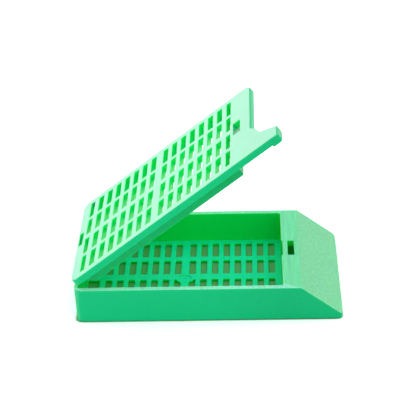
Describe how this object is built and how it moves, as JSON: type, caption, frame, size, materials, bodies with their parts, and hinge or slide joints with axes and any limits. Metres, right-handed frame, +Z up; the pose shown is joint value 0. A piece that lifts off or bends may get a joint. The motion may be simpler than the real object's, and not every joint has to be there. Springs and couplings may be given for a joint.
{
  "type": "tissue cassette",
  "caption": "Open two-piece tissue cassette: slotted base with a sloped writing face and a slotted lid with a finger tab that snaps shut, standing half open.",
  "frame": {"origin": "centre of the base's footprint, on its underside", "axes": "+X towards the nose of the writing slope, +Z up, +Y towards the side away from the lid's finger tab"},
  "size_m": [0.0416, 0.0286, 0.0309],
  "materials": {
    "mint_acetal": "satin, slightly translucent"
  },
  "bodies": {
    "base": {"base": "mint_acetal"},
    "lid": {"lid": "mint_acetal"}
  },
  "joints": [
    {"name": "lid_hinge", "type": "hinge", "parent": "base", "child": "lid", "pos_m": [-0.02115, 0, 0.00615], "axis": [0, -1, 0], "range_deg": [-37.2, 67.8]}
  ]
}
